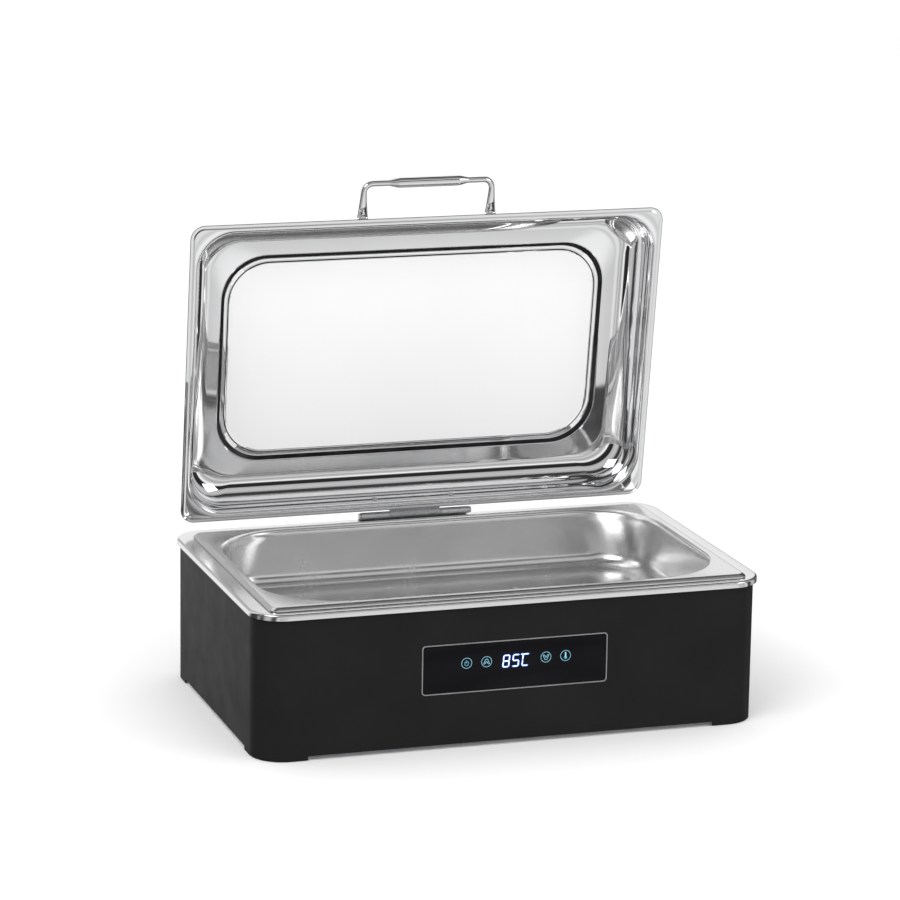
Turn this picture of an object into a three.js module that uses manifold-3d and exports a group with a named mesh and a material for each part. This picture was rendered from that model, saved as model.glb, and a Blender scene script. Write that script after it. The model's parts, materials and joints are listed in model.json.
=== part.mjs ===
// Electric buffet server: a black sheet-metal housing with a polished steel water bath, a
// GN 1/1 food pan, a touch control panel in the front and a friction-hinged steel lid, drawn open.
// Millimetres, +Z up, +X to the right seen from the front, the front faces -Y.

import * as THREE from 'three';
import { mergeVertices } from 'three/addons/utils/BufferGeometryUtils.js';
import Module from 'manifold-3d';

const wasm = await Module();
wasm.setup();

// ---------------------------------------------------------------- driving dimensions

const GAP = 0.3;
const SHEET = 1;

// Steps in a quarter turn of a large and of a small corner, and sides of a round piece.
const CORNER_STEPS = 4;
const SMALL_CORNER_STEPS = 3;
const ROUND_SIDES = 10;

const HOUSING = { width: 560, depth: 356, corner: 36, bottom: 0.5, top: 158.4, wall: 1.5 };
const FLANGE = { width: 14, bottomZ: 6.5, thickness: 1.5, gussetCorner: 70 };
const FOOT_NOTCH = { height: 5, footLength: 54 };

const RIM = { width: 566, depth: 362, corner: 36, top: 160, lip: 7, edge: 3 };
const PAN_Y = -8;
const BASIN = { width: 510, depth: 306, corner: 40, floor: 69.2, edge: 12 };
const PAN = {
  width: 530, depth: 325, corner: 12, top: 164.8, edgeDrop: 4.5, depthInside: 65,
  bodyWidth: 504, bodyDepth: 300, bodyCorner: 50, bodyEdge: 18, taper: 0.07,
};

const LID = {
  width: 546, depth: 346, centreY: -5, corner: 16, underside: 165.2, flange: 9,
  wallCorner: 42, height: 50, edge: 30,
  panelWidth: 436, panelDepth: 222, panelCorner: 38, panelRise: 1.6,
};
const LID_OPEN_DEG = 82;
const HINGE = {
  y: 173, z: 165, barrel: 4, pin: 2, pinHead: 3.4, hole: 2.3, halfWidth: 64, lidHalfWidth: 29.5, plate: 2,
  leafBottom: 100, jogStart: 147, jogEnd: 151, tabUnder: 1.2, tabTop: 3.2, washer: 0.8, washerSpace: 1.4,
  lidLeafHalfWidth: 62, lidLeafHeight: 19, rivetX: 45, rivetRise: 11,
};
const HANDLE = {
  halfSpan: 74, rise: 20.6, reach: 46, rod: 3.3, grip: 5.8, gripHalf: 33, gripTaper: 14,
  bend: 10, footWidth: 13, footThickness: 2.6, footBottom: 5.2, footLap: 9, rivetHeight: 11, recessHalf: 4.5,
  recessRise: 4.2,
};

const VENTS = { firstX: -180, pitch: 30, count: 8, halfWidth: 2, halfLength: 30 };
const FOOT = { radius: 12, edge: 0.8, recess: 5.2, seat: 2.6, bore: 2.4 };
const SCREW = { shank: 2, hole: 2.3, head: 4.2, headHeight: 2.2, reach: 12 };
const SMALL_SCREW = { shank: 1.5, hole: 1.8, head: 2.9, headHeight: 1.6, reach: 9 };
const RIVET = { shank: 2, hole: 2.3, head: 3.6, headEdge: 0.6, headHeight: 1.4, setHeight: 1 };

const PANEL = { width: 203.4, height: 51.4, corner: 3, centreZ: 87.5 };
const BEZEL = { lap: 2.5, sleeve: 1, proud: 0.9, depth: 5 };
const GLASS = { sunk: 0.2, thickness: 3 };
const GASKET = { front: 2.6, back: 3.6, margin: 0.4, width: 4.6, corner: 2.5, innerCorner: 2 };
const CARRIER = { margin: 7, wall: 2, corner: 4, back: 14.5, slotLeft: 60, slotRight: 76, slotTop: -20 };
const DISPLAY = { left: -20, right: 22, low: -6, high: 16, front: 2.7, back: 8.7 };
const TOUCH_BOARD = { halfWidth: 97, halfHeight: 23, front: 9, back: 10.6 };
const HEATER = { radius: 4, halfWidth: 200, frontY: -116, rearY: 100, bend: 24, endX: 25, endZ: 40 };
const CLAMP_X = 90;
const NUT = { radius: 5, height: 3.4 };
const SHIELD = { width: 490, depth: 284, corner: 16, bottom: 45, wall: 1.2, height: 12 };
const MAT = { margin: 3, corner: 14, studHole: 8 };
const POST = { x: 210, y: 110, radius: 5 };
const CUTOUT = { cap: 6, capHeight: 8, flange: 11, flangeHeight: 5 };
const PROBE = { x: 120, width: 6, corner: 2.9, front: -70, rear: -45, drop: 3.1, lead: 6.6 };
const FOOT_AT = { x: 252, y: 150 };
const INLET = {
  x: 200, z: 38, width: 26.8, height: 19.6, corner: 2, depth: 22, screwSpacing: 40,
  flangeWidth: 50, flangeHeight: 23, flangeCorner: 3, flangeTop: 2.8,
  socketDepth: 16, socketHalfWidth: 11.6, socketHalfHeight: 8.4, chamferX: 7, chamferZ: 3.6, pinDepth: 18,
};
const BOARD = { x: 150, y: 20, width: 120, depth: 86, bottom: 14, thickness: 1.6, support: 3, supportFloor: 2 };
const RELAY = { x: 190, y: 10, width: 14, depth: 30, height: 17 };
const TRANSFORMER = { x: 150, y: -2, width: 32, depth: 28, height: 22 };
const TERMINALS = { x: 160, y: 50, width: 70, depth: 14, height: 14 };
const LEAD = { mains: 3, heater: 1.8, sensor: 1.4, control: 1.2, rise: 8, upperRise: 17 };

// The origin is the centre of the footprint of the whole object with the lid standing open.
const FRAME_SHIFT_Y = -17;

// ---------------------------------------------------------------- shapes and solids

function roundedRect(width, depth, corner) {
  const shape = new THREE.Shape();
  const x = width / 2;
  const y = depth / 2;
  shape.absarc(x - corner, y - corner, corner, 0, Math.PI / 2);
  shape.absarc(corner - x, y - corner, corner, Math.PI / 2, Math.PI);
  shape.absarc(corner - x, corner - y, corner, Math.PI, 1.5 * Math.PI);
  shape.absarc(x - corner, corner - y, corner, 1.5 * Math.PI, 2 * Math.PI);
  shape.closePath();
  return shape;
}

function outline(points) {
  return new THREE.Shape(points.map(([x, y]) => new THREE.Vector2(x, y)));
}

function solidOf(geometry) {
  const bare = geometry.clone();
  bare.deleteAttribute('normal');
  bare.deleteAttribute('uv');
  const welded = mergeVertices(bare, 1e-4);
  const mesh = new wasm.Mesh({
    numProp: 3,
    vertProperties: new Float32Array(welded.attributes.position.array),
    triVerts: new Uint32Array(welded.index.array),
  });
  return new wasm.Manifold(mesh);
}

function geometryOf(solid) {
  const mesh = solid.getMesh();
  const geometry = new THREE.BufferGeometry();
  geometry.setAttribute('position', new THREE.BufferAttribute(mesh.vertProperties, 3));
  geometry.setIndex(new THREE.BufferAttribute(mesh.triVerts, 1));
  return geometry;
}

function join(first, ...others) {
  return others.reduce((sum, other) => sum.add(other), first);
}

function cut(first, ...others) {
  return others.reduce((rest, other) => rest.subtract(other), first);
}

// A shape drawn in X and Y, standing from z0 up to z1.
function prism(shape, z0, z1, y = 0) {
  const geometry = new THREE.ExtrudeGeometry(shape, {
    depth: z1 - z0, bevelEnabled: false, curveSegments: CORNER_STEPS,
  });
  return solidOf(geometry.translate(0, y, z0));
}

// A shape drawn in Y and Z, reaching from x0 to x1.
function prismAlongX(shape, x0, x1) {
  const geometry = new THREE.ExtrudeGeometry(shape, { depth: x1 - x0, bevelEnabled: false });
  const basis = new THREE.Matrix4().makeBasis(
    new THREE.Vector3(0, 1, 0), new THREE.Vector3(0, 0, 1), new THREE.Vector3(1, 0, 0));
  return solidOf(geometry.applyMatrix4(basis).translate(x0, 0, 0));
}

// A shape drawn in X and Z, reaching from y0 to y1.
function prismAlongY(shape, y0, y1, x = 0, z = 0) {
  const geometry = new THREE.ExtrudeGeometry(shape, {
    depth: y1 - y0, bevelEnabled: false, curveSegments: SMALL_CORNER_STEPS,
  });
  return solidOf(geometry.rotateX(Math.PI / 2).translate(x, y1, z));
}

function block(x0, x1, y0, y1, z0, z1) {
  const geometry = new THREE.BoxGeometry(x1 - x0, y1 - y0, z1 - z0);
  return solidOf(geometry.translate((x0 + x1) / 2, (y0 + y1) / 2, (z0 + z1) / 2));
}

// A turned piece: pairs of radius and height, closed on the axis or on itself.
function turned(profile, sides = ROUND_SIDES) {
  const points = profile.map(([radius, height]) => new THREE.Vector2(radius, height));
  return new THREE.LatheGeometry(points, sides);
}

function turnedAlongZ(profile, x, y, z, sides) {
  return solidOf(turned(profile, sides).rotateX(Math.PI / 2).translate(x, y, z));
}

// Heights in the profile count from y towards -Y.
function turnedAlongY(profile, x, y, z, sides) {
  return solidOf(turned(profile, sides).rotateX(Math.PI).translate(x, y, z));
}

function turnedAlongX(profile, x, y, z, sides) {
  return solidOf(turned(profile, sides).rotateZ(-Math.PI / 2).translate(x, y, z));
}

// A cutter long enough to pass right through what it meets.
const THROUGH = 80;

function rodProfile(radius, start, end) {
  return [[0, start], [radius, start], [radius, end], [0, end]];
}

// A rounded box with its sharp end at z0 and its rounded end at z1; z1 may lie below z0.
function pillow(width, depth, corner, z0, z1, edge, y = 0, segments = 2) {
  const shape = roundedRect(width - 2 * edge, depth - 2 * edge, Math.max(corner - edge, 1));
  const height = Math.abs(z1 - z0);
  const geometry = new THREE.ExtrudeGeometry(shape, {
    depth: height, bevelThickness: edge, bevelSize: edge, bevelSegments: segments, curveSegments: CORNER_STEPS,
  });
  const low = Math.min(z0, z1) - (z1 > z0 ? edge : -edge);
  const whole = solidOf(geometry.translate(0, y, low));
  const far = Math.max(width, depth);
  const waste = z1 > z0
    ? block(-far, far, y - far, y + far, z0 - 2 * edge - 1, z0)
    : block(-far, far, y - far, y + far, z0, z0 + 2 * edge + 1);
  return cut(whole, waste);
}

// A line through the given corners, each rounded by a short curve.
class BentLine extends THREE.Curve {
  constructor(corners, bend, bendSteps) {
    super();
    const last = corners.length - 1;
    this.stops = [corners[0]];
    for (let index = 1; index < last; index += 1) {
      const here = corners[index];
      const reach = (end) => Math.min(bend, here.distanceTo(end) / 2);
      const towards = (end) => here.clone().add(end.clone().sub(here).setLength(reach(end)));
      const turn = new THREE.QuadraticBezierCurve3(
        towards(corners[index - 1]), here, towards(corners[index + 1]));
      this.stops.push(...turn.getPoints(bendSteps));
    }
    this.stops.push(corners[last]);
    this.steps = this.stops.length - 1;
  }

  getPoint(t, target = new THREE.Vector3()) {
    const place = t * this.steps;
    const index = Math.min(Math.floor(place), this.steps - 1);
    return target.lerpVectors(this.stops[index], this.stops[index + 1], place - index);
  }

  getPointAt(u, target) {
    return this.getPoint(u, target);
  }

  getTangentAt(u, target) {
    return this.getTangent(u, target);
  }

  getSpacedPoints(divisions) {
    return this.getPoints(divisions);
  }
}

function tube(corners, radius, bend, bendSteps = 3, sides = 6) {
  const path = new BentLine(corners.map(([x, y, z]) => new THREE.Vector3(x, y, z)), bend, bendSteps);
  const section = outline(Array.from({ length: sides }, (_, side) => {
    const angle = (2 * Math.PI * side) / sides;
    return [radius * Math.cos(angle), radius * Math.sin(angle)];
  }));
  return solidOf(new THREE.ExtrudeGeometry(section, { extrudePath: path, steps: path.steps }));
}

// ---------------------------------------------------------------- materials

function material(color, roughness, metalness) {
  return new THREE.MeshStandardMaterial({ color, roughness, metalness });
}

const blackCoat = () => material(0x262626, 0.45, 0.3);
const polishedSteel = () => material(0xd9dadc, 0.14, 1.0);
const plainSteel = () => material(0xb4b6b8, 0.4, 1.0);
const zincSteel = () => material(0xa9adb0, 0.5, 0.9);
const rubber = () => material(0x1a1a1a, 0.85, 0.0);
const blackPlastic = () => material(0x202022, 0.6, 0.0);
const circuitBoard = () => material(0x1d5a34, 0.55, 0.1);

// ---------------------------------------------------------------- assembly

const server = new THREE.Group();
server.position.y = FRAME_SHIFT_Y;
const base = new THREE.Group();
server.add(base);

// The lid is modelled closed and turned open about the hinge pin.
const lidPivot = new THREE.Group();
lidPivot.position.set(0, HINGE.y, HINGE.z);
lidPivot.rotation.x = THREE.MathUtils.degToRad(-LID_OPEN_DEG);
const lid = new THREE.Group();
lid.position.set(0, -HINGE.y, -HINGE.z);
lidPivot.add(lid);
server.add(lidPivot);

function addPart(group, name, solid, surface) {
  const mesh = new THREE.Mesh(geometryOf(solid), surface);
  mesh.name = name;
  group.add(mesh);
}

// ---------------------------------------------------------------- housing

const INNER_WIDTH = HOUSING.width - 2 * HOUSING.wall;
const INNER_DEPTH = HOUSING.depth - 2 * HOUSING.wall;
const FRONT_Y = -HOUSING.depth / 2;
const REAR_Y = HOUSING.depth / 2;
const CORNERS = [
  ['front_left', -1, -1], ['front_right', 1, -1], ['rear_left', -1, 1], ['rear_right', 1, 1]];
const HINGE_SCREWS = [
  ['lower_left', -55, 112], ['lower_right', 55, 112], ['upper_left', -55, 138], ['upper_right', 55, 138]];

function housingShell() {
  const inner = (z0, z1) => prism(roundedRect(INNER_WIDTH, INNER_DEPTH, HOUSING.corner - HOUSING.wall), z0, z1);
  const opening = (corner, z0, z1) => prism(
    roundedRect(HOUSING.width - 2 * FLANGE.width, HOUSING.depth - 2 * FLANGE.width, corner), z0, z1);
  const flangeTop = FLANGE.bottomZ + FLANGE.thickness;
  const footX = HOUSING.width / 2 - FOOT_NOTCH.footLength;
  const footY = HOUSING.depth / 2 - FOOT_NOTCH.footLength;
  const windowEdge = BEZEL.sleeve + GAP;
  const window = prismAlongY(
    roundedRect(PANEL.width + 2 * windowEdge, PANEL.height + 2 * windowEdge, PANEL.corner + windowEdge),
    FRONT_Y - 1, FRONT_Y + 4, 0, PANEL.centreZ);
  const inletHole = prismAlongY(roundedRect(INLET.width + 2 * GAP, INLET.height + 2 * GAP, INLET.corner),
    REAR_Y - 4, REAR_Y + 1, INLET.x, INLET.z);
  const footHoles = CORNERS.map(([, sx, sy]) => turnedAlongZ(
    rodProfile(SCREW.hole, 0, 10), sx * FOOT_AT.x, sy * FOOT_AT.y, 4));
  const hingeHoles = HINGE_SCREWS.map(([, x, z]) => turnedAlongY(
    rodProfile(SCREW.hole, 0, 6), x, REAR_Y + 2, z));
  const inletScrewHoles = [-1, 1].map((side) => turnedAlongY(
    rodProfile(SMALL_SCREW.hole, 0, 6), INLET.x + (side * INLET.screwSpacing) / 2, REAR_Y + 2, INLET.z));
  return cut(
    prism(roundedRect(HOUSING.width, HOUSING.depth, HOUSING.corner), HOUSING.bottom, HOUSING.top),
    inner(flangeTop, HOUSING.top - FLANGE.thickness),
    inner(-1, FLANGE.bottomZ),
    opening(FLANGE.gussetCorner, 0, flangeTop + 1),
    opening(HOUSING.corner - FLANGE.width, HOUSING.top - 4, HOUSING.top + 1),
    block(-footX, footX, -REAR_Y - 1, REAR_Y + 1, -1, FOOT_NOTCH.height),
    block(-HOUSING.width, HOUSING.width, -footY, footY, -1, FOOT_NOTCH.height),
    window, inletHole, ...footHoles, ...hingeHoles, ...inletScrewHoles,
  );
}

const BASE_PLATE = { bottom: 5, top: 6.2, inset: 0.8 };

function basePlate() {
  const vents = Array.from({ length: VENTS.count }, (_, index) => {
    const x = VENTS.firstX + index * VENTS.pitch;
    return block(x - VENTS.halfWidth, x + VENTS.halfWidth, -VENTS.halfLength, VENTS.halfLength, 0, THROUGH);
  });
  const holes = CORNERS.map(([, sx, sy]) => turnedAlongZ(
    rodProfile(SCREW.hole, 0, 10), sx * FOOT_AT.x, sy * FOOT_AT.y, 0));
  const { inset } = BASE_PLATE;
  const plate = prism(
    roundedRect(INNER_WIDTH - 2 * inset, INNER_DEPTH - 2 * inset, HOUSING.corner - HOUSING.wall - inset),
    BASE_PLATE.bottom, BASE_PLATE.top);
  return cut(plate, ...vents, ...holes);
}

const FOOT_SCREW = { bottom: 0.6, seat: FOOT.seat - GAP, top: 13 };

addPart(base, 'housing_shell', housingShell(), blackCoat());
addPart(base, 'base_plate', basePlate(), zincSteel());

for (const [place, sx, sy] of CORNERS) {
  const top = BASE_PLATE.bottom - GAP;
  const foot = turnedAlongZ(
    [[FOOT.recess, 0], [FOOT.radius - FOOT.edge, 0], [FOOT.radius, FOOT.edge], [FOOT.radius, top],
      [FOOT.bore, top], [FOOT.bore, FOOT.seat], [FOOT.recess, FOOT.seat], [FOOT.recess, 0]],
    sx * FOOT_AT.x, sy * FOOT_AT.y, 0, 12);
  addPart(base, `foot_${place}`, foot, rubber());
  const screw = turnedAlongZ(
    [[0, FOOT_SCREW.bottom], [SCREW.head, FOOT_SCREW.bottom], [SCREW.head, FOOT_SCREW.seat],
      [SCREW.shank, FOOT_SCREW.seat], [SCREW.shank, FOOT_SCREW.top], [0, FOOT_SCREW.top]],
    sx * FOOT_AT.x, sy * FOOT_AT.y, 0);
  addPart(base, `foot_screw_${place}`, screw, zincSteel());
}

// ---------------------------------------------------------------- water bath and food pan

const CLAMP_TOP = BASIN.floor - SHEET - 2 * HEATER.radius - 2 * GAP;
const CLAMP = { top: CLAMP_TOP, bottom: CLAMP_TOP - 2, halfWidth: 6, lap: 10 };
const STUD = { radius: 2.5, bottom: CLAMP.bottom - 4 };

function waterBath() {
  const rimOuter = pillow(RIM.width, RIM.depth, RIM.corner, RIM.top - RIM.lip, RIM.top, RIM.edge);
  const rimInner = pillow(RIM.width - 2 * SHEET, RIM.depth - 2 * SHEET, RIM.corner - SHEET,
    RIM.top - RIM.lip - 1, RIM.top - SHEET, RIM.edge - SHEET);
  const basinOuter = pillow(BASIN.width + 2 * SHEET, BASIN.depth + 2 * SHEET, BASIN.corner + SHEET,
    RIM.top - SHEET / 2, BASIN.floor - SHEET, BASIN.edge + SHEET, PAN_Y);
  const basinInner = pillow(BASIN.width, BASIN.depth, BASIN.corner,
    RIM.top + 1, BASIN.floor, BASIN.edge, PAN_Y);
  const studs = [-CLAMP_X, CLAMP_X].map((x) => turnedAlongZ(
    rodProfile(STUD.radius, STUD.bottom, BASIN.floor - SHEET / 2), x, PAN_Y, 0));
  return join(cut(join(cut(rimOuter, rimInner), basinOuter), basinInner), ...studs);
}

// Draws the side walls in towards the floor of the pan.
function tapered(solid) {
  const geometry = geometryOf(solid);
  const position = geometry.attributes.position;
  for (let index = 0; index < position.count; index += 1) {
    const x = position.getX(index);
    const y = position.getY(index) - PAN_Y;
    const inset = PAN.taper * (PAN.top - position.getZ(index));
    const shrinkX = 1 - (2 * inset) / PAN.bodyWidth;
    const shrinkY = 1 - (2 * inset) / PAN.bodyDepth;
    position.setX(index, x * shrinkX);
    position.setY(index, y * shrinkY + PAN_Y);
  }
  return solidOf(geometry);
}

function foodPan() {
  const underEdge = PAN.top - PAN.edgeDrop;
  const floor = PAN.top - PAN.depthInside;
  const flange = cut(
    prism(roundedRect(PAN.width, PAN.depth, PAN.corner), underEdge, PAN.top, PAN_Y),
    prism(roundedRect(PAN.width - 2 * SHEET, PAN.depth - 2 * SHEET, PAN.corner - SHEET),
      underEdge - 1, PAN.top - SHEET, PAN_Y));
  const body = tapered(pillow(PAN.bodyWidth, PAN.bodyDepth, PAN.bodyCorner,
    PAN.top - SHEET / 2, floor - SHEET, PAN.bodyEdge, PAN_Y));
  const hollow = tapered(pillow(PAN.bodyWidth - 2 * SHEET, PAN.bodyDepth - 2 * SHEET, PAN.bodyCorner - SHEET,
    PAN.top + 1, floor, PAN.bodyEdge - SHEET, PAN_Y));
  return cut(join(flange, body), hollow);
}

addPart(base, 'water_bath', waterBath(), polishedSteel());
addPart(base, 'food_pan', foodPan(), polishedSteel());

// ---------------------------------------------------------------- heating

const HEATER_Z = BASIN.floor - SHEET - GAP - HEATER.radius;

function heatingElement() {
  const { halfWidth, frontY, rearY, endX, endZ } = HEATER;
  return tube([
    [-endX, rearY, endZ], [-endX, rearY, HEATER_Z], [-halfWidth, rearY, HEATER_Z],
    [-halfWidth, frontY, HEATER_Z], [halfWidth, frontY, HEATER_Z], [halfWidth, rearY, HEATER_Z],
    [endX, rearY, HEATER_Z], [endX, rearY, endZ],
  ], HEATER.radius, HEATER.bend, 3, 8);
}

const INSULATION = { bottom: SHIELD.bottom + SHIELD.wall + GAP, top: CLAMP.bottom - GAP };
const END_HOLE = { x: 45, y0: 86, y1: 114 };
const PROBE_HOLE = 6;
const PROBE_Y = -60;

// The holes for the ends of the heating element and for the lead of the probe.
function leadHoles() {
  return [
    block(-END_HOLE.x, END_HOLE.x, END_HOLE.y0, END_HOLE.y1, 0, THROUGH),
    block(PROBE.x - PROBE_HOLE, PROBE.x + PROBE_HOLE, PROBE_Y - PROBE_HOLE, PROBE_Y + PROBE_HOLE, 0, THROUGH),
  ];
}

function insulationMat() {
  const mat = prism(roundedRect(SHIELD.width - 2 * MAT.margin, SHIELD.depth - 2 * MAT.margin, MAT.corner),
    INSULATION.bottom, INSULATION.top, PAN_Y);
  const studHoles = [-CLAMP_X, CLAMP_X].map((x) => turnedAlongZ(
    rodProfile(MAT.studHole, 0, THROUGH), x, PAN_Y, 0));
  return cut(mat, ...studHoles, ...leadHoles());
}

function heatShield() {
  const { width, depth, corner, bottom, wall, height } = SHIELD;
  const tray = cut(
    prism(roundedRect(width, depth, corner), bottom, bottom + height, PAN_Y),
    prism(roundedRect(width - 2 * wall, depth - 2 * wall, corner - wall),
      bottom + wall, bottom + height + 1, PAN_Y));
  return cut(tray, ...leadHoles());
}

addPart(base, 'heating_element', heatingElement(), plainSteel());
addPart(base, 'insulation_mat', insulationMat(), material(0xd8d2c0, 0.95, 0.0));
addPart(base, 'heat_shield', heatShield(), zincSteel());

for (const [side, sign] of [['left', -1], ['right', 1]]) {
  const x = sign * CLAMP_X;
  const bar = cut(
    block(x - CLAMP.halfWidth, x + CLAMP.halfWidth, HEATER.frontY - CLAMP.lap, HEATER.rearY + CLAMP.lap,
      CLAMP.bottom, CLAMP.top),
    turnedAlongZ(rodProfile(STUD.radius + GAP, 0, THROUGH), x, PAN_Y, 0));
  addPart(base, `heater_clamp_${side}`, bar, zincSteel());
  const nut = cut(
    turnedAlongZ(rodProfile(NUT.radius, 0, NUT.height), x, PAN_Y, CLAMP.bottom - GAP - NUT.height, 6),
    turnedAlongZ(rodProfile(STUD.radius + GAP, 0, THROUGH), x, PAN_Y, 0));
  addPart(base, `clamp_nut_${side}`, nut, zincSteel());
}

for (const [place, sx, sy] of CORNERS) {
  const post = turnedAlongZ(
    rodProfile(POST.radius, BASE_PLATE.top + GAP, SHIELD.bottom - GAP),
    sx * POST.x, sy * POST.y + PAN_Y, 0, 6);
  addPart(base, `shield_post_${place}`, post, zincSteel());
}

const UNDER_BASIN = BASIN.floor - SHEET - GAP;
addPart(base, 'thermal_cutout', turnedAlongZ(
  [[0, -CUTOUT.capHeight], [CUTOUT.cap, -CUTOUT.capHeight], [CUTOUT.cap, -CUTOUT.flangeHeight],
    [CUTOUT.flange, -CUTOUT.flangeHeight], [CUTOUT.flange, 0], [0, 0]],
  0, PAN_Y, UNDER_BASIN, 12), blackPlastic());
addPart(base, 'temperature_probe', prismAlongY(
  roundedRect(PROBE.width, PROBE.width, PROBE.corner), PROBE.front, PROBE.rear,
  PROBE.x, UNDER_BASIN - PROBE.drop), plainSteel());

// ---------------------------------------------------------------- touch control panel

const BEZEL_FRONT = FRONT_Y - BEZEL.proud;
const BOARD_BACK = FRONT_Y + CARRIER.back;

// A rounded plate in the plane of the panel, larger than the window by the given edge all round.
function panelPlate(edge, corner, y0, y1) {
  const shape = roundedRect(PANEL.width + 2 * edge, PANEL.height + 2 * edge, corner);
  return prismAlongY(shape, y0, y1, 0, PANEL.centreZ);
}

function panelBezel() {
  const flange = panelPlate(BEZEL.lap, PANEL.corner + BEZEL.lap, BEZEL_FRONT, FRONT_Y - GAP);
  const sleeve = panelPlate(BEZEL.sleeve, PANEL.corner + BEZEL.sleeve, BEZEL_FRONT, FRONT_Y + BEZEL.depth);
  const bore = panelPlate(0, PANEL.corner, BEZEL_FRONT - 1, FRONT_Y + BEZEL.depth + 1);
  return cut(join(flange, sleeve), bore);
}

function controlGlass() {
  const front = BEZEL_FRONT + GLASS.sunk;
  return panelPlate(-GAP, PANEL.corner - GAP, front, front + GLASS.thickness);
}

function panelGasket() {
  const innerEdge = -GASKET.margin - GASKET.width;
  return cut(
    panelPlate(-GASKET.margin, GASKET.corner, FRONT_Y + GASKET.front, FRONT_Y + GASKET.back),
    panelPlate(innerEdge, GASKET.innerCorner, FRONT_Y + GASKET.front - 1, FRONT_Y + GASKET.back + 1));
}

function boardCarrier() {
  const { margin, wall, corner } = CARRIER;
  const box = panelPlate(margin, corner, FRONT_Y + HOUSING.wall + GAP, BOARD_BACK);
  const hollow = panelPlate(margin - wall, corner - wall, FRONT_Y, BOARD_BACK - wall);
  const cableSlot = block(CARRIER.slotLeft, CARRIER.slotRight, FRONT_Y, BOARD_BACK - wall,
    PANEL.centreZ - PANEL.height, PANEL.centreZ + CARRIER.slotTop);
  return cut(box, hollow, cableSlot);
}

addPart(base, 'panel_bezel', panelBezel(), material(0x85878a, 0.4, 0.4));
addPart(base, 'control_glass', controlGlass(), material(0x17171a, 0.08, 0.0));
addPart(base, 'panel_gasket', panelGasket(), rubber());
addPart(base, 'display_module', block(
  DISPLAY.left, DISPLAY.right, FRONT_Y + DISPLAY.front, FRONT_Y + DISPLAY.back,
  PANEL.centreZ + DISPLAY.low, PANEL.centreZ + DISPLAY.high), blackPlastic());
addPart(base, 'touch_board', block(
  -TOUCH_BOARD.halfWidth, TOUCH_BOARD.halfWidth, FRONT_Y + TOUCH_BOARD.front, FRONT_Y + TOUCH_BOARD.back,
  PANEL.centreZ - TOUCH_BOARD.halfHeight, PANEL.centreZ + TOUCH_BOARD.halfHeight), circuitBoard());
addPart(base, 'board_carrier', boardCarrier(), blackPlastic());

// ---------------------------------------------------------------- power electronics

const BOARD_TOP = BOARD.bottom + BOARD.thickness;

// A block that reaches past the edges of the power board by the given amount.
function overBoard(edge, z0, z1) {
  const halfX = BOARD.width / 2 + edge;
  const halfY = BOARD.depth / 2 + edge;
  return block(BOARD.x - halfX, BOARD.x + halfX, BOARD.y - halfY, BOARD.y + halfY, z0, z1);
}

function boardSupport() {
  const low = BASE_PLATE.top + GAP;
  return cut(
    overBoard(BOARD.support, low, BOARD.bottom - GAP),
    overBoard(-BOARD.support, low + BOARD.supportFloor, BOARD.bottom + 1));
}

function onBoard({ x, y, width, depth, height }) {
  const low = BOARD_TOP + GAP;
  return block(x - width / 2, x + width / 2, y - depth / 2, y + depth / 2, low, low + height);
}

addPart(base, 'board_support', boardSupport(), blackPlastic());
addPart(base, 'power_board', overBoard(0, BOARD.bottom, BOARD_TOP), circuitBoard());
addPart(base, 'relay', onBoard(RELAY), blackPlastic());
addPart(base, 'transformer', onBoard(TRANSFORMER), material(0xc8a23a, 0.6, 0.2));
addPart(base, 'terminal_block', onBoard(TERMINALS), material(0xd9d5c8, 0.6, 0.0));

function mainsInlet() {
  const { x, z, socketHalfWidth, socketHalfHeight, chamferX, chamferZ } = INLET;
  const flange = prismAlongY(roundedRect(INLET.flangeWidth, INLET.flangeHeight, INLET.flangeCorner),
    REAR_Y + GAP, REAR_Y + INLET.flangeTop, x, z);
  const body = prismAlongY(roundedRect(INLET.width, INLET.height, INLET.corner),
    REAR_Y - INLET.depth, REAR_Y + 1, x, z);
  const socket = prismAlongY(outline([
    [-socketHalfWidth, -socketHalfHeight], [socketHalfWidth, -socketHalfHeight], [socketHalfWidth, chamferZ],
    [chamferX, socketHalfHeight], [-chamferX, socketHalfHeight], [-socketHalfWidth, chamferZ],
  ]), REAR_Y - INLET.socketDepth, REAR_Y + 4, x, z);
  const pins = [[-7, -1], [0, 3], [7, -1]].map(([pinX, pinZ]) => block(
    x + pinX - 1, x + pinX + 1, REAR_Y - INLET.pinDepth, REAR_Y, z + pinZ - 2, z + pinZ + 2));
  const holes = [-1, 1].map((side) => turnedAlongY(
    rodProfile(SMALL_SCREW.hole, 0, 6), x + (side * INLET.screwSpacing) / 2, REAR_Y + 4, z));
  return join(cut(join(flange, body), socket, ...holes), ...pins);
}

addPart(base, 'mains_inlet', mainsInlet(), blackPlastic());
for (const [side, sign] of [['left', -1], ['right', 1]]) {
  const { shank, head, headHeight, reach } = SMALL_SCREW;
  const screw = turnedAlongY(
    [[0, 0], [head, 0], [head, headHeight], [shank, headHeight], [shank, reach], [0, reach]],
    INLET.x + (sign * INLET.screwSpacing) / 2, REAR_Y + INLET.flangeTop + GAP + headHeight, INLET.z);
  addPart(base, `inlet_screw_${side}`, screw, zincSteel());
}

const INLET_BACK = REAR_Y - INLET.depth - GAP;
const LEAD_Z = BOARD_TOP + LEAD.rise;
const UPPER_LEAD_Z = BOARD_TOP + LEAD.upperRise;
const BLOCK_REAR = TERMINALS.y + TERMINALS.depth / 2 + GAP;
const TERMINAL_X = { mains: 180, heaterLeft: 136, heaterRight: 148 };
const CABLE = { x: 68, y: FRONT_Y + 11, z: 24 };
const whiteLead = () => material(0xe6e2d8, 0.7, 0.0);

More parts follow.
